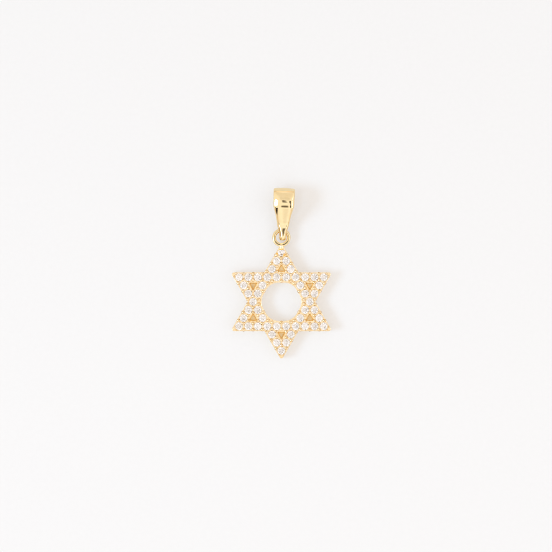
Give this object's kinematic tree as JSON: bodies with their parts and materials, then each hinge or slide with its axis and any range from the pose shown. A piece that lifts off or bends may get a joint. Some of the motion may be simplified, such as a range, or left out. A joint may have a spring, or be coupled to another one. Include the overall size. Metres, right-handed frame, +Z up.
{
  "type": "star of david pendant",
  "caption": "Star of David pendant paved with small round stones, with a soldered ring and a tapered folded bail that a chain runs through.",
  "frame": {"origin": "on the ground under the middle of the whole pendant, which lies on its back", "axes": "+Z up out of the front face, +Y from the star towards the bail, +X to the right seen from the front"},
  "size_m": [0.0126, 0.0218, 0.003],
  "materials": {
    "yellow_gold": "polished yellow gold",
    "clear_stone": "clear colourless cut stone"
  },
  "bodies": {
    "root": {"star_frame": "yellow_gold", "stones": "clear_stone", "bail": "yellow_gold"}
  },
  "joints": []
}
